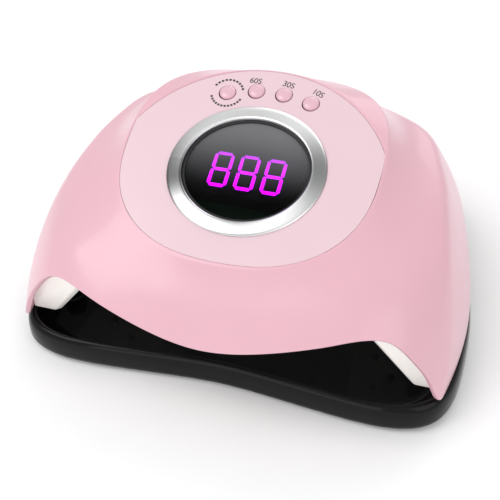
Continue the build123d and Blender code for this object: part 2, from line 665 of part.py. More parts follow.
for wall_name, (size, centre, spacing) in LED_BOARDS.items():
    with BuildPart() as led_board:
        with BuildSketch(LED_WALLS[wall_name][0].offset(LED_BOARD_GAP)):
            with Locations(centre):
                RectangleRounded(*size, radius=2.0)
            with Locations(*screw_spots(centre, spacing)):
                Circle(BOARD_SCREW_RADIUS + 0.1, mode=Mode.SUBTRACT)
        extrude(amount=LED_BOARD_THICKNESS)
    save(led_board.part, f"led_board_{wall_name}")

with BuildPart() as hand_sensors:
    with BuildSketch(ROOF_SKIN.offset(-LINER_WALL - 0.8)):
        with Locations(*both_sides([(SENSOR_X, SENSOR_Y)])):
            Circle(LED_RADIUS)
    extrude(amount=LINER_WALL + 0.8 + LED_BOARD_GAP)
save(hand_sensors.part, "hand_sensors")

with BuildPart() as sensor_board:
    with BuildSketch(ROOF_SKIN.offset(LED_BOARD_GAP)):
        with Locations((0, SENSOR_Y)):
            RectangleRounded(32.0, 9.0, radius=1.5)
    extrude(amount=LED_BOARD_THICKNESS)
save(sensor_board.part, "sensor_board")


# ---------------------------------------------------------------- driver board and power inlet
with BuildPart() as driver_board:
    with BuildSketch(Plane.XY.offset(DRIVER_BOARD_Z)):
        with Locations((0, DRIVER_BOARD_Y)):
            RectangleRounded(*DRIVER_BOARD, radius=2.0)
        with Locations(*DRIVER_SPOTS):
            Circle(BOARD_SCREW_RADIUS + 0.1, mode=Mode.SUBTRACT)
    extrude(amount=BOARD_THICKNESS)
save(driver_board.part, "driver_board")

DRIVER_TOP = Plane.XY.offset(DRIVER_BOARD_Z + BOARD_THICKNESS)
with BuildPart() as driver_capacitors:
    with BuildSketch(DRIVER_TOP):
        with Locations((-20.5, 72.0), (-11.0, 72.0)):
            Circle(4.0)
    extrude(amount=11.0)
    chamfer(driver_capacitors.edges().group_by(Axis.Z)[-1], 0.4)
save(driver_capacitors.part, "driver_capacitors")

with BuildPart() as driver_coil:
    with BuildSketch(DRIVER_TOP):
        with Locations((-11.0, 62.5)):
            RectangleRounded(9.0, 9.0, radius=1.5)
    extrude(amount=5.0)
save(driver_coil.part, "driver_coil")

CONNECTOR_PLACES = [(-2.0, 61.5), (5.0, 61.5), (12.0, 61.5), (19.0, 61.5)]
CONNECTOR_HEIGHT = 6.0
with BuildPart() as wire_connectors:
    with BuildSketch(DRIVER_TOP):
        with Locations(*CONNECTOR_PLACES):
            Rectangle(6.0, 5.0)
    extrude(amount=CONNECTOR_HEIGHT)
save(wire_connectors.part, "wire_connectors")

with BuildPart() as dc_jack:
    with BuildSketch(Plane.XZ.offset(-JACK_PAD_Y)):
        with Locations((0, JACK_Z)):
            Circle(JACK_RADIUS)
    extrude(amount=JACK_LENGTH)
    with BuildSketch(Plane.XZ.offset(-JACK_PAD_Y - 1.2)):
        with Locations((0, JACK_Z)):
            Circle(JACK_FLANGE_RADIUS)
    extrude(amount=1.2)
    with BuildSketch(Plane.XZ.offset(-JACK_PAD_Y - 1.2)):
        with Locations((0, JACK_Z)):
            Circle(JACK_BORE)
    extrude(amount=11.0, mode=Mode.SUBTRACT)
save(dc_jack.part, "dc_jack")

with BuildPart() as jack_pin:
    with BuildSketch(Plane.XZ.offset(-JACK_PAD_Y + 9.8)):
        with Locations((0, JACK_Z)):
            Circle(JACK_PIN_RADIUS)
    extrude(amount=-9.0)
    fillet(jack_pin.edges().group_by(Axis.Y)[-1], 0.4)
save(jack_pin.part, "dc_jack_pin")


# ---------------------------------------------------------------- small screws and wiring
def board_screws_on(plane, spots, length):
    """Pan-head screws with their heads on the plane and their shanks running into -Z."""
    with BuildPart() as screws:
        with BuildSketch(plane):
            with Locations(*spots):
                Circle(BOARD_SCREW_HEAD_RADIUS)
        extrude(amount=BOARD_SCREW_HEAD_HEIGHT)
        with BuildSketch(plane.offset(-length)):
            with Locations(*spots):
                Circle(BOARD_SCREW_RADIUS)
        extrude(amount=length)
        with BuildSketch(plane.offset(BOARD_SCREW_HEAD_HEIGHT - 0.6)):
            with Locations(*spots):
                Rectangle(2.4, 0.6)
                Rectangle(0.6, 2.4)
        extrude(amount=0.6, mode=Mode.SUBTRACT)
    return screws.part


with BuildPart() as board_screws:
    for wall_name, (wall_plane, places) in LED_WALLS.items():
        add(board_screws_on(wall_plane.offset(LED_BOARD_GAP + LED_BOARD_THICKNESS),
                            screw_spots(*LED_BOARDS[wall_name][1:]), 3.4))
    add(board_screws_on(DRIVER_TOP, DRIVER_SPOTS, 4.4))
    under_keys = on_panel(KEY_BOARD_TOP - BOARD_THICKNESS)
    add(board_screws_on(Plane(origin=under_keys.origin, x_dir=(1, 0, 0), z_dir=-PANEL.z_dir),
                        [(x, -y) for x, y in both_sides(KEY_POSTS)], 6.0))
save(board_screws.part, "board_screws")

WIRE_RADIUS = 0.9
WIRE_BEND = 5.0
WIRE_TOP_Z = 63.0
CONNECTOR_TOP_Z = DRIVER_BOARD_Z + BOARD_THICKNESS + CONNECTOR_HEIGHT
ROOF_BOARD_TOP_Z = TUNNEL_ROOF_Z + LINER_WALL + LED_BOARD_GAP + LED_BOARD_THICKNESS


def side_landing(side, height):
    """Point where the leads of a side LED board land, this far off the board."""
    face = side_plane(side, LINER_WALL).offset(LED_BOARD_GAP + LED_BOARD_THICKNESS + height)
    return face.from_local_coords(Vector(118.0, side * 14.0, 0))


def wire_routes():
    """Corner points of each lead, from the driver board to the boards it feeds."""
    starts = [Vector(x, y, CONNECTOR_TOP_Z) for x, y in CONNECTOR_PLACES]
    left_x, keys_x, roof_x, right_x = [point.X for point in starts]
    y = CONNECTOR_PLACES[0][1]
    keys_end = PANEL.from_local_coords(Vector(keys_x, 40.0, KEY_BOARD_TOP - BOARD_THICKNESS))
    left = [starts[0], (left_x, y, 50.5), (-50.0, y - 2.0, 50.5),
            side_landing(-1, 8.0), side_landing(-1, 0.0)]
    keys = [starts[1], (keys_x, y, WIRE_TOP_Z + 4.0), keys_end - PANEL.z_dir * 14.0, keys_end]
    roof = [starts[2], (roof_x, y, WIRE_TOP_Z), (roof_x, 30.0, WIRE_TOP_Z + 1.0),
            (roof_x, 30.0, ROOF_BOARD_TOP_Z)]
    right = [starts[3], (right_x, y, 50.5), (50.0, y - 2.0, 50.5),
             side_landing(1, 8.0), side_landing(1, 0.0)]
    return [left, keys, roof, right]


with BuildPart() as wire_harness:
    for route in wire_routes():
        with BuildLine():
            path = FilletPolyline(*route, radius=WIRE_BEND)
        with BuildSketch(Plane(origin=path @ 0, z_dir=path % 0)):
            Circle(WIRE_RADIUS)
        sweep(path=path)
save(wire_harness.part, "wire_harness")


# ---------------------------------------------------------------- magnets and screws of the head
with BuildPart() as head_magnets:
    with BuildSketch(Plane.XY.offset(SHELL_BOTTOM_Z)):
        with Locations(*both_sides(MAGNET_PLACES)):
            Circle(MAGNET_RADIUS)
    extrude(amount=MAGNET_THICKNESS)
save(head_magnets.part, "head_magnets")

with BuildPart() as liner_screws:
    with BuildSketch(Plane.XY.offset(SHELL_BOTTOM_Z + MAGNET_THICKNESS - SCREW_HEAD_HEIGHT)):
        with Locations(*both_sides(SCREW_PLACES)):
            Circle(SCREW_HEAD_RADIUS)
    extrude(amount=SCREW_HEAD_HEIGHT)
    with BuildSketch(Plane.XY.offset(SHELL_BOTTOM_Z + MAGNET_THICKNESS)):
        with Locations(*both_sides(SCREW_PLACES)):
            Circle(SCREW_RADIUS)
    extrude(amount=SCREW_LENGTH)
    with BuildSketch(Plane.XY.offset(SHELL_BOTTOM_Z + MAGNET_THICKNESS - SCREW_HEAD_HEIGHT)):
        with Locations(*both_sides(SCREW_PLACES)):
            Rectangle(3.6, 0.8)
            Rectangle(0.8, 3.6)
    extrude(amount=1.2, mode=Mode.SUBTRACT)
save(liner_screws.part, "liner_screws")


# ---------------------------------------------------------------- base tray
def tray_points(inset):
    """Right half of the tray's outline, set in from its rim."""
    across = 1.0 - inset / TRAY_HALF_WIDTH
    along = 1.0 - inset / TRAY_HALF_DEPTH
    return [(x * across, y * along) for x, y in TRAY_OUTLINE]


def tray_solid(levels):
    """Solid through the tray's outline at each (z, inset)."""
    with BuildPart() as solid:
        for z, inset in levels:
            with BuildSketch(Plane.XY.offset(z)):
                with BuildLine():
                    Spline(tray_points(inset), tangents=[(1.0, 0.0), (-1.0, 0.0)])
                    mirror(about=Plane.YZ)
                make_face()
        loft(ruled=True)
    return solid.part


with BuildPart() as base_tray:
    add(tray_solid(TRAY_OUTSIDE))
    add(tray_solid(TRAY_INSIDE), mode=Mode.SUBTRACT)
    with BuildSketch(Plane.XY.offset(TRAY_BOTTOM_Z + TRAY_FLOOR)):
        with Locations(*both_sides(MAGNET_PLACES)):
            Circle(MAGNET_POST_RADIUS)
    extrude(amount=SHELL_BOTTOM_Z - MAGNET_GAP - TRAY_BOTTOM_Z - TRAY_FLOOR)
    with BuildSketch(Plane.XY.offset(SHELL_BOTTOM_Z - MAGNET_GAP - MAGNET_THICKNESS)):
        with Locations(*both_sides(MAGNET_PLACES)):
            Circle(MAGNET_RADIUS + 0.05)
    extrude(amount=MAGNET_THICKNESS, mode=Mode.SUBTRACT)
    with BuildSketch(Plane.XY.offset(TRAY_BOTTOM_Z)):
        with Locations(*both_sides(FOOT_PLACES)):
            Circle(FOOT_RADIUS)
    extrude(amount=FOOT_SINK, mode=Mode.SUBTRACT)
save(base_tray.part, "base_tray")

with BuildPart() as tray_magnets:
    with BuildSketch(Plane.XY.offset(SHELL_BOTTOM_Z - MAGNET_GAP - MAGNET_THICKNESS)):
        with Locations(*both_sides(MAGNET_PLACES)):
            Circle(MAGNET_RADIUS)
    extrude(amount=MAGNET_THICKNESS)
save(tray_magnets.part, "tray_magnets")

with BuildPart() as rubber_feet:
    with BuildSketch(Plane.XY):
        with Locations(*both_sides(FOOT_PLACES)):
            Circle(FOOT_RADIUS - 0.05)
    extrude(amount=TRAY_BOTTOM_Z + FOOT_SINK)
    chamfer(rubber_feet.edges().group_by(Axis.Z)[0], 0.5)
save(rubber_feet.part, "rubber_feet")
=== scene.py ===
import json
import math

import bpy
import bmesh
import numpy as np
from mathutils import Matrix, Vector


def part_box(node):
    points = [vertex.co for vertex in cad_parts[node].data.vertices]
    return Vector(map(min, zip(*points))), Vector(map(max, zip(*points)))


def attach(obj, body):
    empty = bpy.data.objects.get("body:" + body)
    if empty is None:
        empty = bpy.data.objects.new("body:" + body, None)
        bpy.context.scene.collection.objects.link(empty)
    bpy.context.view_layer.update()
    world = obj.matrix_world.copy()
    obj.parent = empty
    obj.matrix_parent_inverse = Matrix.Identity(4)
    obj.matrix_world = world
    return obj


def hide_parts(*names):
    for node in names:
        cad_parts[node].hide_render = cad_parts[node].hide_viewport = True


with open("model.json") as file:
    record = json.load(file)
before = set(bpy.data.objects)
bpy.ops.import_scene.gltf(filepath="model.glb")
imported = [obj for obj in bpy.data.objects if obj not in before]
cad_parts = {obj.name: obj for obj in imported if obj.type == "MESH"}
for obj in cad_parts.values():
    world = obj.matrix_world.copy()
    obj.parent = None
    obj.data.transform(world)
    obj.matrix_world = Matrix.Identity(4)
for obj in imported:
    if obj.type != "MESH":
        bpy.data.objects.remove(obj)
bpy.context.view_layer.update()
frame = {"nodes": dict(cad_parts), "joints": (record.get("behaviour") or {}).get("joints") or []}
NODES = frame["nodes"]


# ---------------------------------------------------------------- materials

class Paint:
    """A small helper that builds one Principled material with procedural detail."""

    NOISE_LOW, NOISE_HIGH = 0.3, 0.7     # most values of a noise texture lie between these

    def __init__(self, name, base, rough, metallic=0.0, **sockets):
        self.mat = bpy.data.materials.new(name)
        self.mat.use_nodes = True
        self.tree = self.mat.node_tree
        self.shader = self.tree.nodes["Principled BSDF"]
        self.shader.inputs["Base Color"].default_value = (*base, 1.0)
        self.shader.inputs["Roughness"].default_value = rough
        self.shader.inputs["Metallic"].default_value = metallic
        for key, value in sockets.items():
            self.shader.inputs[key.replace("_", " ")].default_value = value
        self.base = base
        self.rough = rough
        self.place = self.tree.nodes.new("ShaderNodeTexCoord").outputs["Object"]

    def node(self, kind, **settings):
        new = self.tree.nodes.new(kind)
        for key, value in settings.items():
            setattr(new, key, value)
        return new

    def link(self, a, b):
        self.tree.links.new(a, b)

    def noise(self, scale, detail=3.0):
        noise = self.node("ShaderNodeTexNoise")
        noise.inputs["Scale"].default_value = scale
        noise.inputs["Detail"].default_value = detail
        self.link(self.place, noise.inputs["Vector"])
        return noise.outputs["Fac"]

    def span(self, value, low, high):
        """A noise value spread from low to high."""
        remap = self.node("ShaderNodeMapRange")
        remap.inputs["From Min"].default_value = self.NOISE_LOW
        remap.inputs["From Max"].default_value = self.NOISE_HIGH
        remap.inputs["To Min"].default_value = low
        remap.inputs["To Max"].default_value = high
        self.link(value, remap.inputs["Value"])
        return remap.outputs["Result"]

    def mix(self, factor, low, high):
        """A colour between two fixed ones."""
        mix = self.node("ShaderNodeMix", data_type="RGBA")
        for socket, colour in ((mix.inputs[6], low), (mix.inputs[7], high)):
            socket.default_value = (*colour, 1.0)
        self.link(factor, mix.inputs[0])
        return mix.outputs[2]

    def vary(self, scale, amount):
        """Slow lightening and darkening of the base colour."""
        low = tuple(c * (1 - amount) for c in self.base)
        high = tuple(min(1.0, c * (1 + amount)) for c in self.base)
        tint = self.mix(self.span(self.noise(scale), 0, 1), low, high)
        self.link(tint, self.shader.inputs["Base Color"])
        return self

    def roughness(self, scale, spread):
        """Slightly duller and glossier places. Little detail in the noise keeps specks away."""
        value = self.span(self.noise(scale, 0.5), self.rough - spread, self.rough + spread)
        self.link(value, self.shader.inputs["Roughness"])
        return self

    def bump(self, scale, height):
        """A fine grain of the given height in metres."""
        bump = self.node("ShaderNodeBump")
        bump.inputs["Strength"].default_value = 1.0
        bump.inputs["Distance"].default_value = height
        self.link(self.noise(scale, 2.0), bump.inputs["Height"])
        self.link(bump.outputs["Normal"], self.shader.inputs["Normal"])
        return self


TINT_SCALE = 30.0            # both scales are for each metre
DULLNESS_SCALE = 45.0
DULLNESS_SHARE = 0.12        # spread of the roughness, as a share of it


def plastic(name, base, rough, grain, height, vary, **sockets):
    """One finish: a slowly varying colour, an uneven roughness and a grain."""
    paint = Paint(name, base, rough, **sockets)
    paint.vary(TINT_SCALE, vary).roughness(DULLNESS_SCALE, rough * DULLNESS_SHARE).bump(grain, height)
    return paint.mat


MATERIALS = {
    "shell": plastic("shell_pink", (0.730, 0.420, 0.492), 0.32, 900.0, 0.0000025, 0.015,
                     Coat_Weight=0.35, Coat_Roughness=0.12, Specular_IOR_Level=0.45),
    "panel": plastic("panel_pink", (0.742, 0.545, 0.592), 0.36, 260.0, 0.000008, 0.012,
                     Coat_Weight=0.25, Coat_Roughness=0.15, Specular_IOR_Level=0.45),
    "key": plastic("key_pink", (0.720, 0.440, 0.510), 0.20, 260.0, 0.000006, 0.015, Coat_Weight=0.5),
    # The liner's weak emission is painted light: a glow that stands in for light scattered through its pale
    # plastic.
    "liner": plastic("liner_cream_painted_glow", (0.96, 0.93, 0.885), 0.25, 300.0, 0.000012, 0.02, Coat_Weight=0.3,
                     Emission_Color=(1.0, 0.96, 0.92, 1.0), Emission_Strength=0.12),
    "tray": plastic("tray_black", (0.004, 0.004, 0.0045), 0.12, 260.0, 0.000005, 0.10,
                    Specular_IOR_Level=0.12, Coat_Weight=0.12, Coat_Roughness=0.04),
    "window": plastic("window_smoked", (0.20, 0.20, 0.21), 0.02, 400.0, 0.000001, 0.05,
                      IOR=1.12),
    "sensor": plastic("sensor_black", (0.012, 0.012, 0.013), 0.10, 400.0, 0.000002, 0.05, Coat_Weight=0.5),
    "print": plastic("print_grey", (0.045, 0.040, 0.045), 0.5, 900.0, 0.000002, 0.05),
    "metal": plastic("metal_plated", (0.72, 0.73, 0.74), 0.25, 900.0, 0.000003, 0.03, metallic=1.0),
    "ring": plastic("ring_silver", (0.86, 0.87, 0.88), 0.24, 900.0, 0.000002, 0.02, metallic=1.0,
                    Anisotropic=0.75),
    "dark": plastic("dark_plastic", (0.02, 0.02, 0.021), 0.42, 1400.0, 0.00002, 0.08),
    "board": plastic("board_green", (0.012, 0.12, 0.045), 0.38, 2200.0, 0.00001, 0.12),
    "led_board": plastic("board_white", (0.80, 0.81, 0.79), 0.42, 1800.0, 0.000012, 0.03),
    "lens": plastic("lens_clear", (0.78, 0.76, 0.90), 0.12, 700.0, 0.000004, 0.04, Coat_Weight=0.4),
    "rubber": plastic("rubber_black", (0.022, 0.022, 0.022), 0.75, 1600.0, 0.00005, 0.12),
    "digit": plastic("digit_magenta", (0.55, 0.0, 1.0), 0.4, 900.0, 0.000004, 0.02,
                     Emission_Color=(0.58, 0.0, 1.0, 1.0), Emission_Strength=18.0),
    "wire": plastic("wire_red", (0.45, 0.015, 0.015), 0.5, 900.0, 0.00003, 0.08),
    "natural": plastic("connector_white", (0.78, 0.75, 0.66), 0.45, 1200.0, 0.00002, 0.05),
}
FINISH = {
    "outer_shell": "shell", "control_panel": "panel", "display_bezel": "ring", "window_seal": "rubber",
    "display_window": "window", "display_module": "dark", "digit_segments": "digit", "key_board": "board",
    "key_switches": "dark", "inner_liner": "liner", "uv_leds": "lens", "led_board_roof": "led_board",
    "led_board_rear": "led_board", "led_board_left": "led_board", "led_board_right": "led_board",
    "sensor_board": "board", "hand_sensors": "sensor", "driver_board": "board", "driver_capacitors": "dark",
    "driver_coil": "dark", "wire_connectors": "natural", "dc_jack": "dark", "dc_jack_pin": "metal",
    "head_magnets": "metal", "tray_magnets": "metal", "board_screws": "metal", "liner_screws": "metal",
    "wire_harness": "wire", "base_tray": "tray", "rubber_feet": "rubber",
    "key_99s": "key", "key_60s": "key", "key_30s": "key", "key_10s": "key",
    "plunger_99s": "dark", "plunger_60s": "dark", "plunger_30s": "dark", "plunger_10s": "dark",
}


def reflection_painted_across(material, input_name, low_y, high_y, low, high):
    """Changes one input of a material evenly from the front of the lamp to the rear. It is used to paint a
    reflection onto the window.
    """
    tree = material.node_tree
    place = tree.nodes.new("ShaderNodeTexCoord")
    split = tree.nodes.new("ShaderNodeSeparateXYZ")
    remap = tree.nodes.new("ShaderNodeMapRange")
    remap.interpolation_type = "SMOOTHSTEP"
    for key, limit in (("From Min", low_y), ("From Max", high_y), ("To Min", low), ("To Max", high)):
        remap.inputs[key].default_value = limit
    tree.links.new(place.outputs["Object"], split.inputs["Vector"])
    tree.links.new(split.outputs["Y"], remap.inputs["Value"])
    tree.links.new(remap.outputs["Result"], tree.nodes["Principled BSDF"].inputs[input_name])


def painted_sheen_round(material, stops):
    """Painted highlights and shade: the bright and dark sectors that reflections make on turned metal, as a
    colour painted round the piece's own axis.
    """
    tree = material.node_tree
    place = tree.nodes.new("ShaderNodeTexCoord")
    sweep = tree.nodes.new("ShaderNodeTexGradient")
    sweep.gradient_type = "RADIAL"
    ramp = tree.nodes.new("ShaderNodeValToRGB")
    ramp.color_ramp.interpolation = "B_SPLINE"
    marks = ramp.color_ramp.elements
    while len(marks) < len(stops):
        marks.new(0.5)
    for mark, (at, level) in zip(marks, stops):
        mark.position = at
        mark.color = (level, level * 1.005, level * 1.01, 1.0)
    tree.links.new(place.outputs["Object"], sweep.inputs["Vector"])
    tree.links.new(sweep.outputs["Color"], ramp.inputs["Fac"])
    tree.links.new(ramp.outputs["Color"], tree.nodes["Principled BSDF"].inputs["Base Color"])


def brushed_round(material):
    """Stretches the highlights round the piece's own axis."""
    tree = material.node_tree
    tangent = tree.nodes.new("ShaderNodeTangent")
    tangent.direction_type = "RADIAL"
    tangent.axis = "Z"
    tree.links.new(tangent.outputs["Tangent"], tree.nodes["Principled BSDF"].inputs["Tangent"])


RING_PAINTED_SHEEN = [             # (share of a turn, lightness); painted highlights and shade of turned metal
    (0.0, 0.30), (0.035, 0.13), (0.07, 0.13), (0.11, 0.45), (0.15, 1.0), (0.20, 0.80), (0.27, 0.45),
    (0.34, 1.0), (0.41, 1.0), (0.47, 0.45), (0.52, 0.24), (0.57, 0.40), (0.63, 1.0), (0.69, 1.0),
    (0.77, 0.78), (0.86, 0.85), (0.93, 0.70), (0.97, 0.45), (1.0, 0.30)]
# Painted reflection: the window lets less light through towards the rear, so that part reads a lighter
# grey, as if it reflected the room.
reflection_painted_across(MATERIALS["window"], "Transmission Weight", -0.040, 0.000, 1.0, 0.10)
# The display ring's base colour is painted highlights and shade, not the metal's own tone.
painted_sheen_round(MATERIALS["ring"], RING_PAINTED_SHEEN)
brushed_round(MATERIALS["ring"])
for node, finish in FINISH.items():
    for material_slot in NODES[node].material_slots:
        material_slot.material = MATERIALS[finish]


# ---------------------------------------------------------------- pieces that stand in for CAD nodes

def placed(name, data):
    """A new object in the scene."""
    thing = bpy.data.objects.new(name, data)
    bpy.context.scene.collection.objects.link(thing)
    return thing


def mesh_from(bm, name):
    """A new mesh from a finished bmesh, which is freed."""
    mesh = bpy.data.meshes.new(name)
    bm.to_mesh(mesh)
    bm.free()
    return mesh


def link_mesh(name, mesh, material, smooth=True):
    """An object with one material from a mesh."""
    piece = placed(name, mesh)
    mesh.materials.clear()
    mesh.materials.append(MATERIALS[material])
    mesh.polygons.foreach_set("use_smooth", [smooth] * len(mesh.polygons))
    return piece


def welded(node):
    """The node's mesh as one closed surface, with the seams between its faces joined."""
    mesh = NODES[node].data.copy()
    bm = bmesh.new()
    bm.from_mesh(mesh)
    bmesh.ops.remove_doubles(bm, verts=bm.verts, dist=2e-6)
    bmesh.ops.recalc_face_normals(bm, faces=bm.faces)
    bm.to_mesh(mesh)
    bm.free()
    if "custom_normal" in mesh.attributes:
        mesh.attributes.remove(mesh.attributes["custom_normal"])
    return mesh


def applied(piece):
    """The piece with its modifiers worked into its mesh."""
    bpy.context.view_layer.update()
    evaluated = piece.evaluated_get(bpy.context.evaluated_depsgraph_get())
    mesh = bpy.data.meshes.new_from_object(evaluated)
    piece.modifiers.clear()
    piece.data = mesh
    return piece


def stand_in(piece, node, body):
    """Shows the piece in place of the node, on the node's body."""
    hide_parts(node)
    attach(piece, body)
    return piece


def moulded(node, name, material, voxel, passes, body):
    """The node's shape with the rounded edges that moulding leaves."""
    piece = link_mesh(name, welded(node), material)
    remesh = piece.modifiers.new("skin", "REMESH")
    remesh.mode = "VOXEL"
    remesh.voxel_size = voxel
    remesh.use_smooth_shade = True
    ease = piece.modifiers.new("ease", "SMOOTH")
    ease.factor = 0.5
    ease.iterations = passes
    applied(piece)
    return stand_in(piece, node, body)


def bevelled(node, name, material, width, body):
    """The node's shape with a fine bevel on its sharp edges."""
    mesh = welded(node)
    bm = bmesh.new()
    bm.from_mesh(mesh)
    bmesh.ops.dissolve_limit(bm, angle_limit=math.radians(0.5), verts=bm.verts, edges=bm.edges)
    bm.to_mesh(mesh)
    bm.free()
    piece = link_mesh(name, mesh, material)
    bevel = piece.modifiers.new("edge", "BEVEL")
    bevel.width = width
    bevel.segments = 2
    bevel.limit_method = "ANGLE"
    bevel.angle_limit = math.radians(40)
    bevel.harden_normals = True
    applied(piece)
    return stand_in(piece, node, body)


# The control panel's plane: its normal is opposite to the way the keys are pressed, and the
# window lies in it, with the middle of its thickness a little below the panel's face.
WINDOW_DEPTH = 0.0019
press = next(joint["axis"] for joint in frame["joints"] if joint["name"].startswith("press_"))
NORMAL = -Vector(press).normalized()
ACROSS = Vector((1.0, 0.0, 0.0))
UPWARD = NORMAL.cross(ACROSS)
window_low, window_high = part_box("display_window")
CENTRE = (window_low + window_high) / 2 + NORMAL * WINDOW_DEPTH


def panel_frame():
    """Turns a piece modelled flat about the origin, in metres, into one lying on the control panel."""
    return Matrix.Translation(CENTRE) @ Matrix((ACROSS, UPWARD, NORMAL)).transposed().to_4x4()


def oval_ring(name, profile, material, segments=288):
    """A closed ring on the panel, from a profile of (half-width, half-height, height) points in mm."""
    bm = bmesh.new()
    rows = []
    for step in range(segments):
        angle = 2 * math.pi * step / segments
        rows.append([bm.verts.new((a * math.cos(angle) / 1000, b * math.sin(angle) / 1000, h / 1000))
                     for a, b, h in profile])
    for step in range(segments):
        here, after = rows[step], rows[(step + 1) % segments]
        for k in range(len(profile)):
            j = (k + 1) % len(profile)
            bm.faces.new((here[k], after[k], after[j], here[j]))
    bmesh.ops.recalc_face_normals(bm, faces=bm.faces)
    piece = link_mesh(name, mesh_from(bm, name), material)
    piece.matrix_world = panel_frame()
    return piece


# ---------------------------------------------------------------- outer shell, as one smooth skin

def cubic(knots, values, start=None, end=None):
    """Cubic spline through values at knots, with given end slopes, or free ends."""
    knots = np.asarray(knots, float)
    values = np.asarray(values, float)
    n = len(knots)
    gap = np.diff(knots)
    slope = np.diff(values) / gap
    matrix = np.zeros((n, n))
    right = np.zeros(n)
    for i in range(1, n - 1):
        matrix[i, i - 1:i + 2] = gap[i - 1], 2 * (gap[i - 1] + gap[i]), gap[i]
        right[i] = 6 * (slope[i] - slope[i - 1])
    matrix[0, 0] = matrix[-1, -1] = 1.0
    if start is not None:
        matrix[0, :2] = 2 * gap[0], gap[0]
        right[0] = 6 * (slope[0] - start)
    if end is not None:
        matrix[-1, -2:] = gap[-1], 2 * gap[-1]
        right[-1] = 6 * (end - slope[-1])
    bend = np.linalg.solve(matrix, right)

    def value(at):
        i = np.clip(np.searchsorted(knots, at) - 1, 0, n - 2)
        a = (knots[i + 1] - at) / gap[i]
        b = (at - knots[i]) / gap[i]
        return (a * values[i] + b * values[i + 1]
                + ((a ** 3 - a) * bend[i] + (b ** 3 - b) * bend[i + 1]) * gap[i] ** 2 / 6)
    return value


def smooth_max(a, b, reach):
    """The larger of two values, blended where they differ by less than the reach."""
    overlap = np.maximum(reach - np.abs(a - b), 0.0) / reach
    return np.maximum(a, b) + overlap * overlap * reach / 4


def smooth_step(value, low, high):
    """0 below low, 1 above high and an even S between them."""
    t = np.clip((value - low) / (high - low), 0.0, 1.0)
    return t * t * (3 - 2 * t)


# Lengths of the skin are in millimetres, and its angles turn about the pedestal's middle, on the
# centre line at MID_Y. Distances up the sloping panel, called v, start from the display ring's middle.
MID_Y = -21.0
TILT = math.atan2(-NORMAL.y, NORMAL.z)
RING_Y, RING_Z = CENTRE.y * 1000, CENTRE.z * 1000
FOOT_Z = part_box("outer_shell")[0].z * 1000

DECK_LINE = [                # (y, z) of the top skin on the centre line, from visor to rear
    (-125, 20), (-112, 37), (-102.5, 47), (-90, 59), (-76, 68.5), (-50, 76.5), (-20, 81), (10, 83),
    (35, 82), (60, 77), (112, 58)]
DECK_FALL, DECK_FRONT_FALL, DECK_FALL_POWER = 14.0, 24.0, 6.4
DECK_FRONT_Y, DECK_FRONT_LENGTH = -10.0, 70.0

LIP_LINE = [                 # (x, z) of the lip over the hand opening, from centre to tip
    (0, 47), (30, 50.3), (55, 55.4), (70, 57), (82, 52.5), (92, 41), (99, 28), (103.4, 15), (106, 6)]
LIP_REAR_Y = -62.0

BASE_LINE = [                # (x, y) of the side wall's lower edge, from the front corner to the rear
    (97, -112), (104, -76), (108.5, -30), (100, 25), (89.5, 57), (60, 82), (0, 100)]
FRONT_SPLAY = 0.12           # outward lean of that edge at the front corner
WALL_HALF_WIDTH, WALL_LEAN, WALL_LEAN_POWER = 108.5, 20.0, 1.6
REAR_SHRINK, REAR_SHRINK_POWER = 0.44, 1.15
LEAN_START_Z, LEAN_HEIGHT = 18.0, 62.0

EGG_HALF_WIDTH, EGG_POWER = 61.6, 2.37
INLAY_WIDEST_V, INLAY_REAR, INLAY_FRONT, INLAY_RIM = 8.0, 65.8, 57.0, 0.8
PEDESTAL_REAR, PEDESTAL_FRONT = 62.0, 54.0
FOLD_CENTRE_V, FOLD_RADIUS, FOLD_STEEPNESS = -11.3, 68.2, 1.1
FOLD_TURN = (15, 100)        # degrees between which the fold grows to its full steepness
SKIRT_LENGTH, SKIRT_GROWTH, SKIRT_POWER = 13.0, 15.0, 2.6
SKIRT_TURN = (-70, -15)      # degrees between which the skirt grows to its full length
EASE_WIDTH, EASE_REACH = 0.55, 60        # rounding along each ray, in mm and in samples
SHOULDER = 3.2               # reach of the rounding between the deck and the side wall
WALL_WEIGHT = 1.2            # makes that rounding narrower than it is high
LIP_GAP, LIP_BLEND = 0.7, 7.0            # above the CAD shell's foot, and the blend into the lip's line
BEND_START, BEND_LENGTH = 1.0, 3.0       # the close samples over the panel's crisp edge
FLAT_COUNT, BEND_COUNT, FAR_COUNT = 8, 15, 130     # samples before, over and past that edge
SWING_COUNT, LOWEST_SWING = 500, 0.06    # looks down from the edge, and the lowest one in radians
NEAREST, FARTHEST, HALVINGS = 20.0, 190.0, 36
RAY_COUNT = 481              # for the right half of the shell

REACHES = np.linspace(30.0, 150.0, 2401)       # distances along a ray at which it is sampled
REACH_STEP = REACHES[1] - REACHES[0]
LEVELS = np.arange(6.0, 112.0, 0.5)            # heights at which the side wall is sampled
DECK_STATIONS = np.linspace(-125, 112, 4741)

lip_line = cubic(*zip(*LIP_LINE), start=0.0)
deck_heights = cubic(*zip(*DECK_LINE))(DECK_STATIONS)


def deck(x, y):
    """Height of the top skin, which falls away to the sides and more so in front."""
    front = (np.maximum(0.0, DECK_FRONT_Y - y) / DECK_FRONT_LENGTH) ** 2
    fall = (DECK_FALL + DECK_FRONT_FALL * front) * (np.abs(x) / 100.0) ** DECK_FALL_POWER
    return np.interp(y, DECK_STATIONS, deck_heights) - fall


def base_outline():
    """The right half of the side wall's lower edge, from the middle of the front to the rear."""
    points = np.array(BASE_LINE, float)
    step = np.r_[0.0, np.cumsum(np.hypot(*np.diff(points, axis=0).T))]
    along = np.linspace(0, step[-1], 3000)
    tilt = math.hypot(FRONT_SPLAY, 1.0)
    x = cubic(step, points[:, 0], FRONT_SPLAY / tilt, -1.0)(along)
    y = cubic(step, points[:, 1], 1.0 / tilt, 0.0)(along)
    corner_x, front_y = points[0]
    front = np.linspace(0, corner_x, 400)[:-1]
    return np.r_[front, x], np.r_[np.full(len(front), front_y), y]


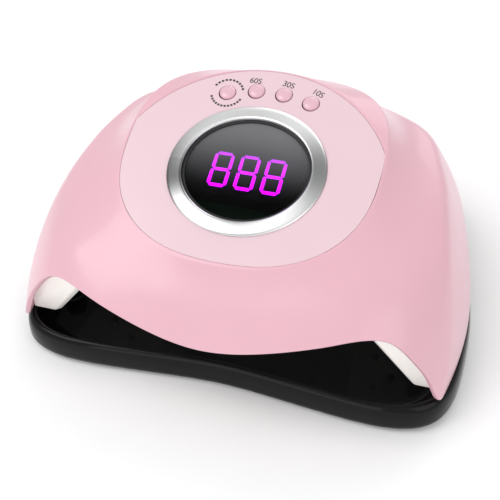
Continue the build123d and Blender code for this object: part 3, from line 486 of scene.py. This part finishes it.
def wall_table(angles):
    """Distance of the side wall from the middle, for each angle and level."""
    x, y = base_outline()
    rows = []
    for z in LEVELS:
        rise = max(0.0, z - LEAN_START_Z) / LEAN_HEIGHT
        side = 1.0 - WALL_LEAN * rise ** WALL_LEAN_POWER / WALL_HALF_WIDTH
        rear = 1.0 - REAR_SHRINK * rise ** REAR_SHRINK_POWER
        px = x * side
        py = np.where(y > 0, y * rear, y) - MID_Y
        turn = np.arctan2(py, px)
        rows.append(np.interp(angles, turn, np.hypot(px, py)))
    return np.array(rows).T


def egg(c, s, half_width, rear, front):
    """Distance of a rounded egg's outline from its middle, at an angle of cosine c and sine s."""
    half = np.where(s > 0, rear, front)
    return ((np.abs(c) / half_width) ** EGG_POWER + (np.abs(s) / half) ** EGG_POWER) ** (-1 / EGG_POWER)


def inlay_reach(angle):
    """Distance of the inlay's edge from (0, INLAY_WIDEST_V) in the panel's plane, at an angle."""
    c, s = np.abs(np.cos(angle)), np.sin(angle)
    outline = egg(c, s, EGG_HALF_WIDTH - INLAY_RIM, INLAY_REAR - INLAY_RIM, INLAY_FRONT - INLAY_RIM)
    shift = INLAY_WIDEST_V - FOLD_CENTRE_V
    chord = (FOLD_RADIUS - INLAY_RIM) ** 2 - (shift * c) ** 2
    fold = -s * shift + np.sqrt(np.maximum(chord, 1.0))
    return -smooth_max(-outline, -fold, 1.0)


def along_rays(angles):
    """Points along a ray at each angle: x, y and v, the distance up the sloping panel."""
    x = REACHES * np.cos(angles)[:, None]
    y = MID_Y + REACHES * np.sin(angles)[:, None]
    return x, y, (y - RING_Y) / math.cos(TILT)


def top_table(angles, edge):
    """Heights of the panel, its rear fold, the pedestal's skirt and the deck along each ray."""
    x, y, v = along_rays(angles)
    plane = RING_Z + (y - RING_Y) * math.tan(TILT)
    turn = np.degrees(np.arctan2(v - FOLD_CENTRE_V, x))
    steep = FOLD_STEEPNESS * smooth_step(turn, *FOLD_TURN)
    past_fold = np.maximum(np.hypot(x, v - FOLD_CENTRE_V) - FOLD_RADIUS, 0.0)
    crest = plane - steep * past_fold / math.cos(TILT)
    at = np.clip(np.round((edge - REACHES[0]) / REACH_STEP).astype(int), 0, len(REACHES) - 1)
    below_edge = deck(edge * np.cos(angles)[:, None], MID_Y + edge * np.sin(angles)[:, None])
    step_up = np.take_along_axis(crest, at, 1) - below_edge
    length = SKIRT_LENGTH + SKIRT_GROWTH * smooth_step(np.degrees(angles)[:, None], *SKIRT_TURN)
    flare = step_up * np.clip(1 - (REACHES - edge) / length, 0, 1) ** SKIRT_POWER
    top = np.where(REACHES < edge, crest, deck(x, y) + flare)
    kernel = np.exp(-0.5 * (np.arange(-EASE_REACH, EASE_REACH + 1) * REACH_STEP / EASE_WIDTH) ** 2)
    kernel /= kernel.sum()
    padded = np.pad(top, ((0, 0), (EASE_REACH, EASE_REACH)), mode="edge")
    return np.array([np.convolve(row, kernel, mode="valid") for row in padded])


def inlay_start(angles):
    """Distance at which each ray passes the edge of the panel's inlay."""
    x, _, v = along_rays(angles)
    up = v - INLAY_WIDEST_V
    outside = np.hypot(x, up) > inlay_reach(np.arctan2(up, x))
    return np.argmax(outside, axis=1) * REACH_STEP + REACHES[0]


def between(table, at):
    """Each row of a table read at fractional columns."""
    low = at.astype(int)
    share = at - low
    return np.take_along_axis(table, low, 1) * (1 - share) + np.take_along_axis(table, low + 1, 1) * share


def surface_gap(r, z, top, walls):
    """Positive outside the rounded body of deck and side wall, and negative inside it."""
    lid = between(top, np.clip((r - REACHES[0]) / REACH_STEP, 0, len(REACHES) - 1.001))
    wall = between(walls, np.clip((z - LEVELS[0]) / (LEVELS[1] - LEVELS[0]), 0, len(LEVELS) - 1.001))
    return smooth_max(z - lid, (r - wall) * WALL_WEIGHT, SHOULDER)


def outer_curve(psi, top, walls):
    """Distance of the surface along lines that rise at the angles psi, by halving."""
    inner, outer = np.full(psi.shape, NEAREST), np.full(psi.shape, FARTHEST)
    for _ in range(HALVINGS):
        middle = (inner + outer) / 2
        inside = surface_gap(middle * np.cos(psi), middle * np.sin(psi), top, walls) < 0
        inner = np.where(inside, middle, inner)
        outer = np.where(inside, outer, middle)
    return inner


def shell_rows(angles):
    """The skin's profile at each angle, from the inlay's edge down to its lower lip."""
    c, s = np.cos(angles)[:, None], np.sin(angles)[:, None]
    edge = egg(c, s, EGG_HALF_WIDTH, PEDESTAL_REAR, PEDESTAL_FRONT)
    top = top_table(angles, edge)
    start = inlay_start(angles)[:, None]
    bend = edge - BEND_START
    flat = start + np.linspace(0, 1, FLAT_COUNT + 1)[:-1] * (bend - start)
    over = bend + np.linspace(0, BEND_LENGTH, BEND_COUNT)
    near = np.maximum.accumulate(np.concatenate([flat, over], 1), axis=1)
    near_z = between(top, (near - REACHES[0]) / REACH_STEP)

    swing = np.linspace(0, 1, SWING_COUNT)
    psi = np.arctan2(near_z[:, -1:], near[:, -1:]) * (1 - swing) + LOWEST_SWING * swing
    distance = outer_curve(psi, top, wall_table(angles))
    r, z = distance * np.cos(psi), distance * np.sin(psi)
    foot = FOOT_Z + LIP_GAP
    lip = smooth_max(np.full(r.shape, foot), lip_line(np.abs(r * c)), LIP_BLEND)
    above = z - np.where(MID_Y + r * s < LIP_REAR_Y, lip, foot)
    far, far_z = [], []
    for k, n in enumerate(np.argmax(above < 0, axis=1)):
        share = above[k, n - 1] / (above[k, n - 1] - above[k, n])
        rr = np.r_[near[k, -1], r[k, 1:n], r[k, n - 1] + share * (r[k, n] - r[k, n - 1])]
        zz = np.r_[near_z[k, -1], z[k, 1:n], z[k, n - 1] + share * (z[k, n] - z[k, n - 1])]
        travel = np.r_[0.0, np.cumsum(np.hypot(np.diff(rr), np.diff(zz)))]
        even = np.linspace(0, travel[-1], FAR_COUNT + 1)[1:]
        far.append(np.interp(even, travel, rr))
        far_z.append(np.interp(even, travel, zz))
    rr = np.concatenate([near, far], 1)
    zz = np.concatenate([near_z, far_z], 1)
    return np.stack([rr * c, MID_Y + rr * s, zz], 2)


def grid_normals(grid):
    """Unit normals of a grid of points that closes round its first axis."""
    around = np.roll(grid, -1, 0) - np.roll(grid, 1, 0)
    down = np.gradient(grid, axis=1)
    normal = np.cross(down, around)
    normal /= np.maximum(np.linalg.norm(normal, axis=2, keepdims=True), 1e-9)
    return normal


VENT_COUNT, VENT_PITCH, VENT_WIDTH, VENT_HEIGHT, VENT_Z = 9, 6.4, 2.4, 15.0, 54.0
CUTTER_Y, CUTTER_DEPTH = 90.0, 60.0
INLET_Z, INLET_HOLE_RADIUS, INLET_HOLE_ENDS = 30.5, 9.9, (60.0, 100.0)
COLLAR_RADIUS, COLLAR_BORE, COLLAR_ENDS = 10.0, 7.05, (80.0, 96.0)
ROUND_SIDES = 96


def vent_cutter(x):
    """An upright slot with round ends, through the rear wall."""
    bm = bmesh.new()
    bmesh.ops.create_cube(bm, size=1.0)
    size = Matrix.Diagonal((VENT_WIDTH / 1000, CUTTER_DEPTH / 1000, VENT_HEIGHT / 1000, 1.0))
    bm.transform(Matrix.Translation((x / 1000, CUTTER_Y / 1000, VENT_Z / 1000)) @ size)
    level = [edge for edge in bm.edges if abs(edge.verts[0].co.y - edge.verts[1].co.y) > 0.001]
    bmesh.ops.bevel(bm, geom=level, offset=VENT_WIDTH / 2050, segments=6, profile=0.5, affect="EDGES")
    return link_mesh("slot", mesh_from(bm, "slot"), "shell")


def round_tool(name, radius, front_y, rear_y, bore=0.0):
    """A cylinder, or a tube, lying along Y at the inlet's height, in millimetres."""
    profile = [(radius - 0.8, rear_y), (radius - 0.25, rear_y - 0.2), (radius, rear_y - 0.8),
               (radius, front_y)]
    bm = bmesh.new()
    if bore:
        profile += [(bore, front_y), (bore, rear_y - 0.3), (bore + 0.3, rear_y)]
    rings = []
    for r, y in profile:
        rings.append([bm.verts.new((r * math.cos(t) / 1000, y / 1000, (INLET_Z + r * math.sin(t)) / 1000))
                      for t in np.linspace(0, 2 * math.pi, ROUND_SIDES + 1)[:-1]])
    pairs = list(zip(rings, rings[1:])) + ([(rings[-1], rings[0])] if bore else [])
    for a, b in pairs:
        for k in range(ROUND_SIDES):
            bm.faces.new((a[k], a[k - 1], b[k - 1], b[k]))
    if not bore:
        bm.faces.new(rings[0])
        bm.faces.new(rings[-1])
    bmesh.ops.recalc_face_normals(bm, faces=bm.faces)
    return link_mesh(name, mesh_from(bm, name), "shell")


def rear_openings():
    """One cutter for the vents and the power inlet."""
    first = -VENT_PITCH * (VENT_COUNT - 1) / 2
    tools = [vent_cutter(first + VENT_PITCH * k) for k in range(VENT_COUNT)]
    tools.append(round_tool("inlet_hole", INLET_HOLE_RADIUS, *INLET_HOLE_ENDS))
    bm = bmesh.new()
    for tool in tools:
        bm.from_mesh(tool.data)
        bpy.data.objects.remove(tool)
    bmesh.ops.recalc_face_normals(bm, faces=bm.faces)
    return link_mesh("openings", mesh_from(bm, "openings"), "shell")


SKIN_WALL = 2.4
LIP_ROUND = 0.65             # height of the rounding along the lower lip
LEDGE_WIDTH, LEDGE_DEPTH = 4.0, 1.65     # of the ledge that carries the inlay
LEDGE_DROP, RIM_DROP = 0.6, 0.25         # small falls at the ledge's inner edge and at the rim


def skin_section(outer):
    """Closes the outer surface into a wall: rounded lip, inner surface and the inlay's ledge."""
    normal = grid_normals(outer)
    forward_and_up = np.array([0.0, -1.0, 0.5])
    if normal[0, -40] @ forward_and_up < 0:      # a point in the middle of the front faces this way
        normal = -normal
    down = outer[:, -1] - outer[:, -3]
    down /= np.linalg.norm(down, axis=1, keepdims=True)
    lip = []
    for k in range(1, 10):
        turn = math.pi * k / 10
        inward = normal[:, -1] * SKIN_WALL / 2 * (1 - math.cos(turn))
        lip.append(outer[:, -1] - inward + down * LIP_ROUND * math.sin(turn))
    inner = outer - normal * SKIN_WALL
    under = inner[:, ::-1][:, ::3]
    plane_up = np.array(NORMAL)
    pull = outer[:, 0] - np.array([0.0, MID_Y, 0.0])
    pull[:, 2] = 0
    pull /= np.linalg.norm(pull, axis=1, keepdims=True)
    ledge = [inner[:, 0] - pull * LEDGE_WIDTH - plane_up * LEDGE_DROP,
             outer[:, 0] - pull * LEDGE_WIDTH - plane_up * LEDGE_DEPTH,
             outer[:, 0] - plane_up * LEDGE_DEPTH,
             outer[:, 0] - plane_up * RIM_DROP]
    return np.concatenate([outer, np.stack(lip, 1), under, np.stack(ledge, 1)], 1)


def shell_skin():
    """The outer shell: one closed mesh from the two halves, with the openings cut in its rear."""
    right = shell_rows(np.radians(np.linspace(-90, 90, RAY_COUNT)))
    left = right[1:-1][::-1] * np.array([-1.0, 1.0, 1.0])
    rows = skin_section(np.concatenate([right, left], 0))
    around, along = rows.shape[:2]
    index = np.arange(around * along).reshape(around, along)
    nxt = np.roll(index, -1, 0)
    quads = np.stack([index, np.roll(index, -1, 1), np.roll(nxt, -1, 1), nxt], 2).reshape(-1, 4)
    mesh = bpy.data.meshes.new("shell_skin")
    mesh.from_pydata((rows.reshape(-1, 3) / 1000).tolist(), [], quads.tolist())
    bm = bmesh.new()
    bm.from_mesh(mesh)
    bmesh.ops.remove_doubles(bm, verts=bm.verts, dist=1e-7)
    bmesh.ops.recalc_face_normals(bm, faces=bm.faces)
    bm.to_mesh(mesh)
    bm.free()
    piece = link_mesh("shell_skin", mesh, "shell")
    cutter = rear_openings()
    cut = piece.modifiers.new("cut", "BOOLEAN")
    cut.operation = "DIFFERENCE"
    cut.solver = "EXACT"
    cut.object = cutter
    applied(piece)
    bpy.data.objects.remove(cutter)
    return stand_in(piece, "outer_shell", "head")


shell_skin()
inlet_collar = round_tool("inlet_collar", COLLAR_RADIUS, *COLLAR_ENDS, bore=COLLAR_BORE)
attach(inlet_collar, "head")
moulded("inner_liner", "liner_skin", "liner", voxel=0.0005, passes=6, body="head")
moulded("base_tray", "tray_skin", "tray", voxel=0.0006, passes=16, body="base")
bevelled("control_panel", "panel_plate", "panel", width=0.00035, body="head")

RING_PROFILE = [             # (half-width, half-height, height above the panel)
    (31.4, 28.4, -5.4), (33.0, 30.0, -5.4), (33.0, 30.0, 0.0), (37.0, 34.4, 0.0), (37.3, 34.7, 0.15),
    (37.25, 34.65, 0.45), (36.9, 34.3, 0.75), (36.0, 33.4, 1.0), (34.5, 31.9, 1.22), (32.8, 30.2, 1.42),
    (31.4, 28.8, 1.56), (30.7, 28.1, 1.56), (30.3, 27.7, 1.35), (30.15, 27.5, 0.9), (30.1, 27.4, 0.4),
    (29.9, 27.1, 0.02), (31.3, 28.3, 0.0)]
KEY_PROFILE = [              # (radius, height above the panel)
    (0.02, 0.95), (1.2, 0.92), (2.2, 0.80), (3.1, 0.55), (3.7, 0.20), (3.94, -0.25), (3.96, -0.8),
    (3.96, -1.6), (0.02, -1.6)]


def key_cap(label):
    """A low domed plug, at the middle of the CAD key's box brought into the panel's plane.

    The box leans with the key, so the plug sits about 0.4 mm up the panel from the key's own axis.
    """
    cap = oval_ring(f"cap_{label}", [(r, r, h) for r, h in KEY_PROFILE], "key", segments=96)
    low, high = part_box(f"key_{label}")
    seat = (low + high) / 2 - CENTRE
    in_plane = ACROSS * seat.dot(ACROSS) + UPWARD * seat.dot(UPWARD)
    cap.matrix_world = Matrix.Translation(in_plane) @ panel_frame()
    stand_in(cap, f"key_{label}", f"button_{label}")


for label in ("99s", "60s", "30s", "10s"):
    key_cap(label)
stand_in(oval_ring("display_ring", RING_PROFILE, "ring"), "display_bezel", "head")


# ---------------------------------------------------------------- printed legends

PRINT_LIFT = 0.00005         # print above the panel's face, in metres
PRINT_THICKNESS = 0.00002
LEGEND_HEIGHT = 3.2          # of a figure, in millimetres
FONT_SIZE_RATIO = 1.38       # font size for each unit of a figure's height
FIRST_KEY = (-20.6, 40.5)    # across and up the panel, in millimetres
DASH_WIDTH, DASH_STEP = 1.1, 3.0         # in millimetres, and in degrees


def printed(piece, x, y, turn=0.0):
    """Lays a flat piece on the panel, x across and y up it, turned by some degrees."""
    seat = Matrix.Translation((x / 1000, y / 1000, PRINT_LIFT))
    piece.matrix_world = panel_frame() @ seat @ Matrix.Rotation(math.radians(turn), 4, "Z")
    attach(piece, "head")
    return piece


def legend(name, text, x, y, turn):
    """Printed text."""
    curve = bpy.data.curves.new(name, "FONT")
    curve.body = text
    curve.size = LEGEND_HEIGHT / 1000 * FONT_SIZE_RATIO
    curve.align_x = "CENTER"
    curve.extrude = PRINT_THICKNESS
    curve.space_character = 0.94
    source = placed(name, curve)
    bpy.context.view_layer.update()
    mesh = bpy.data.meshes.new_from_object(source)
    bpy.data.objects.remove(source)
    return printed(link_mesh(name, mesh, "print", smooth=False), x, y, turn)


def dash(name, radius, start, end):
    """One flat printed dash, curved about the origin between two angles in degrees."""
    bm = bmesh.new()
    count = max(2, int((end - start) / DASH_STEP))
    edge = []
    for k in range(count + 1):
        angle = math.radians(start + (end - start) * k / count)
        edge.append([bm.verts.new((r * math.cos(angle) / 1000, r * math.sin(angle) / 1000, PRINT_THICKNESS))
                     for r in (radius - DASH_WIDTH / 2, radius + DASH_WIDTH / 2)])
    for a, b in zip(edge, edge[1:]):
        bm.faces.new((a[0], a[1], b[1], b[0]))
    return link_mesh(name, mesh_from(bm, name), "print", smooth=False)


def dashes(name, radius, starts, length):
    """A row of dashes round the first key, in place of its curved wording."""
    for number, start in enumerate(starts):
        printed(dash(f"{name}_{number}", radius, start, start + length), *FIRST_KEY)


legend("legend_60s", "60S", -8.7, 48.0, 0.0)
legend("legend_30s", "30S", 7.4, 48.2, -10.0)
legend("legend_10s", "10S", 22.2, 45.6, -22.0)
dashes("upper_dash", 7.6, range(20, 160, 14), 9)
dashes("lower_dash", 7.8, range(200, 344, 12), 8)


# ---------------------------------------------------------------- floor, lights, camera

FLOOR_REACH = 3.0
WORLD_STRENGTH = 0.74
AIM = Vector((-0.0142, 0.0085, 0.0))     # the point that the camera looks at
DISTANCE = 0.5
SENSOR_WIDTH = 36.0
LENS_RATIO = 1.799                       # focal length for each unit of the sensor's width
AZIMUTH, ELEVATION, ROLL = math.radians(20.0), math.radians(43.65), math.radians(3.92)


def floor():
    mesh = bpy.data.meshes.new("floor")
    corners = [(x * FLOOR_REACH, y * FLOOR_REACH, 0) for x, y in ((-1, -1), (1, -1), (1, 1), (-1, 1))]
    mesh.from_pydata(corners, [], [(0, 1, 2, 3)])
    ground = placed("floor", mesh)
    mesh.materials.append(plastic("floor_pale", (0.96, 0.96, 0.96), 0.75, 60.0, 0.00004, 0.006))


def area(name, place, target, size, power):
    """A square light at a place, turned to a target."""
    data = bpy.data.lights.new(name, "AREA")
    data.shape = "SQUARE"
    data.size = size
    data.energy = power
    lamp = placed(name, data)
    lamp.location = place
    lamp.rotation_euler = (Vector(target) - Vector(place)).to_track_quat("-Z", "Y").to_euler()


def camera():
    """The camera fitted to the photograph: from the front right, above and slightly rolled."""
    level = math.cos(ELEVATION)
    back = Vector((math.sin(AZIMUTH) * level, -math.cos(AZIMUTH) * level, math.sin(ELEVATION)))
    right = Vector((math.cos(AZIMUTH), math.sin(AZIMUTH), 0.0))
    up = back.cross(right)
    across = right * math.cos(ROLL) - up * math.sin(ROLL)
    rise = right * math.sin(ROLL) + up * math.cos(ROLL)
    data = bpy.data.cameras.new("camera")
    data.sensor_width = SENSOR_WIDTH
    data.lens = LENS_RATIO * SENSOR_WIDTH
    data.clip_start = 0.01
    view = placed("camera", data)
    turned = Matrix((across, rise, back)).transposed().to_4x4()
    view.matrix_world = Matrix.Translation(AIM + back * DISTANCE) @ turned
    bpy.context.scene.camera = view


world = bpy.data.worlds.new("studio")
bpy.context.scene.world = world
world.use_nodes = True
backdrop = world.node_tree.nodes["Background"]
backdrop.inputs["Color"].default_value = (1.0, 1.0, 1.0, 1.0)
backdrop.inputs["Strength"].default_value = WORLD_STRENGTH
floor()
area("key_light", (-0.55, -0.35, 0.95), (0, 0, 0.03), 0.7, 4.3)
area("fill_light", (0.85, -0.55, 0.65), (0, 0, 0.03), 0.8, 1.9)
area("rear_light", (0.15, 0.95, 0.75), (0, 0, 0.05), 0.9, 3.1)
area("low_light", (-0.10, -0.85, 0.22), (0, -0.03, 0.02), 0.45, 0.7)
camera()
bpy.context.scene.view_settings.view_transform = "Standard"
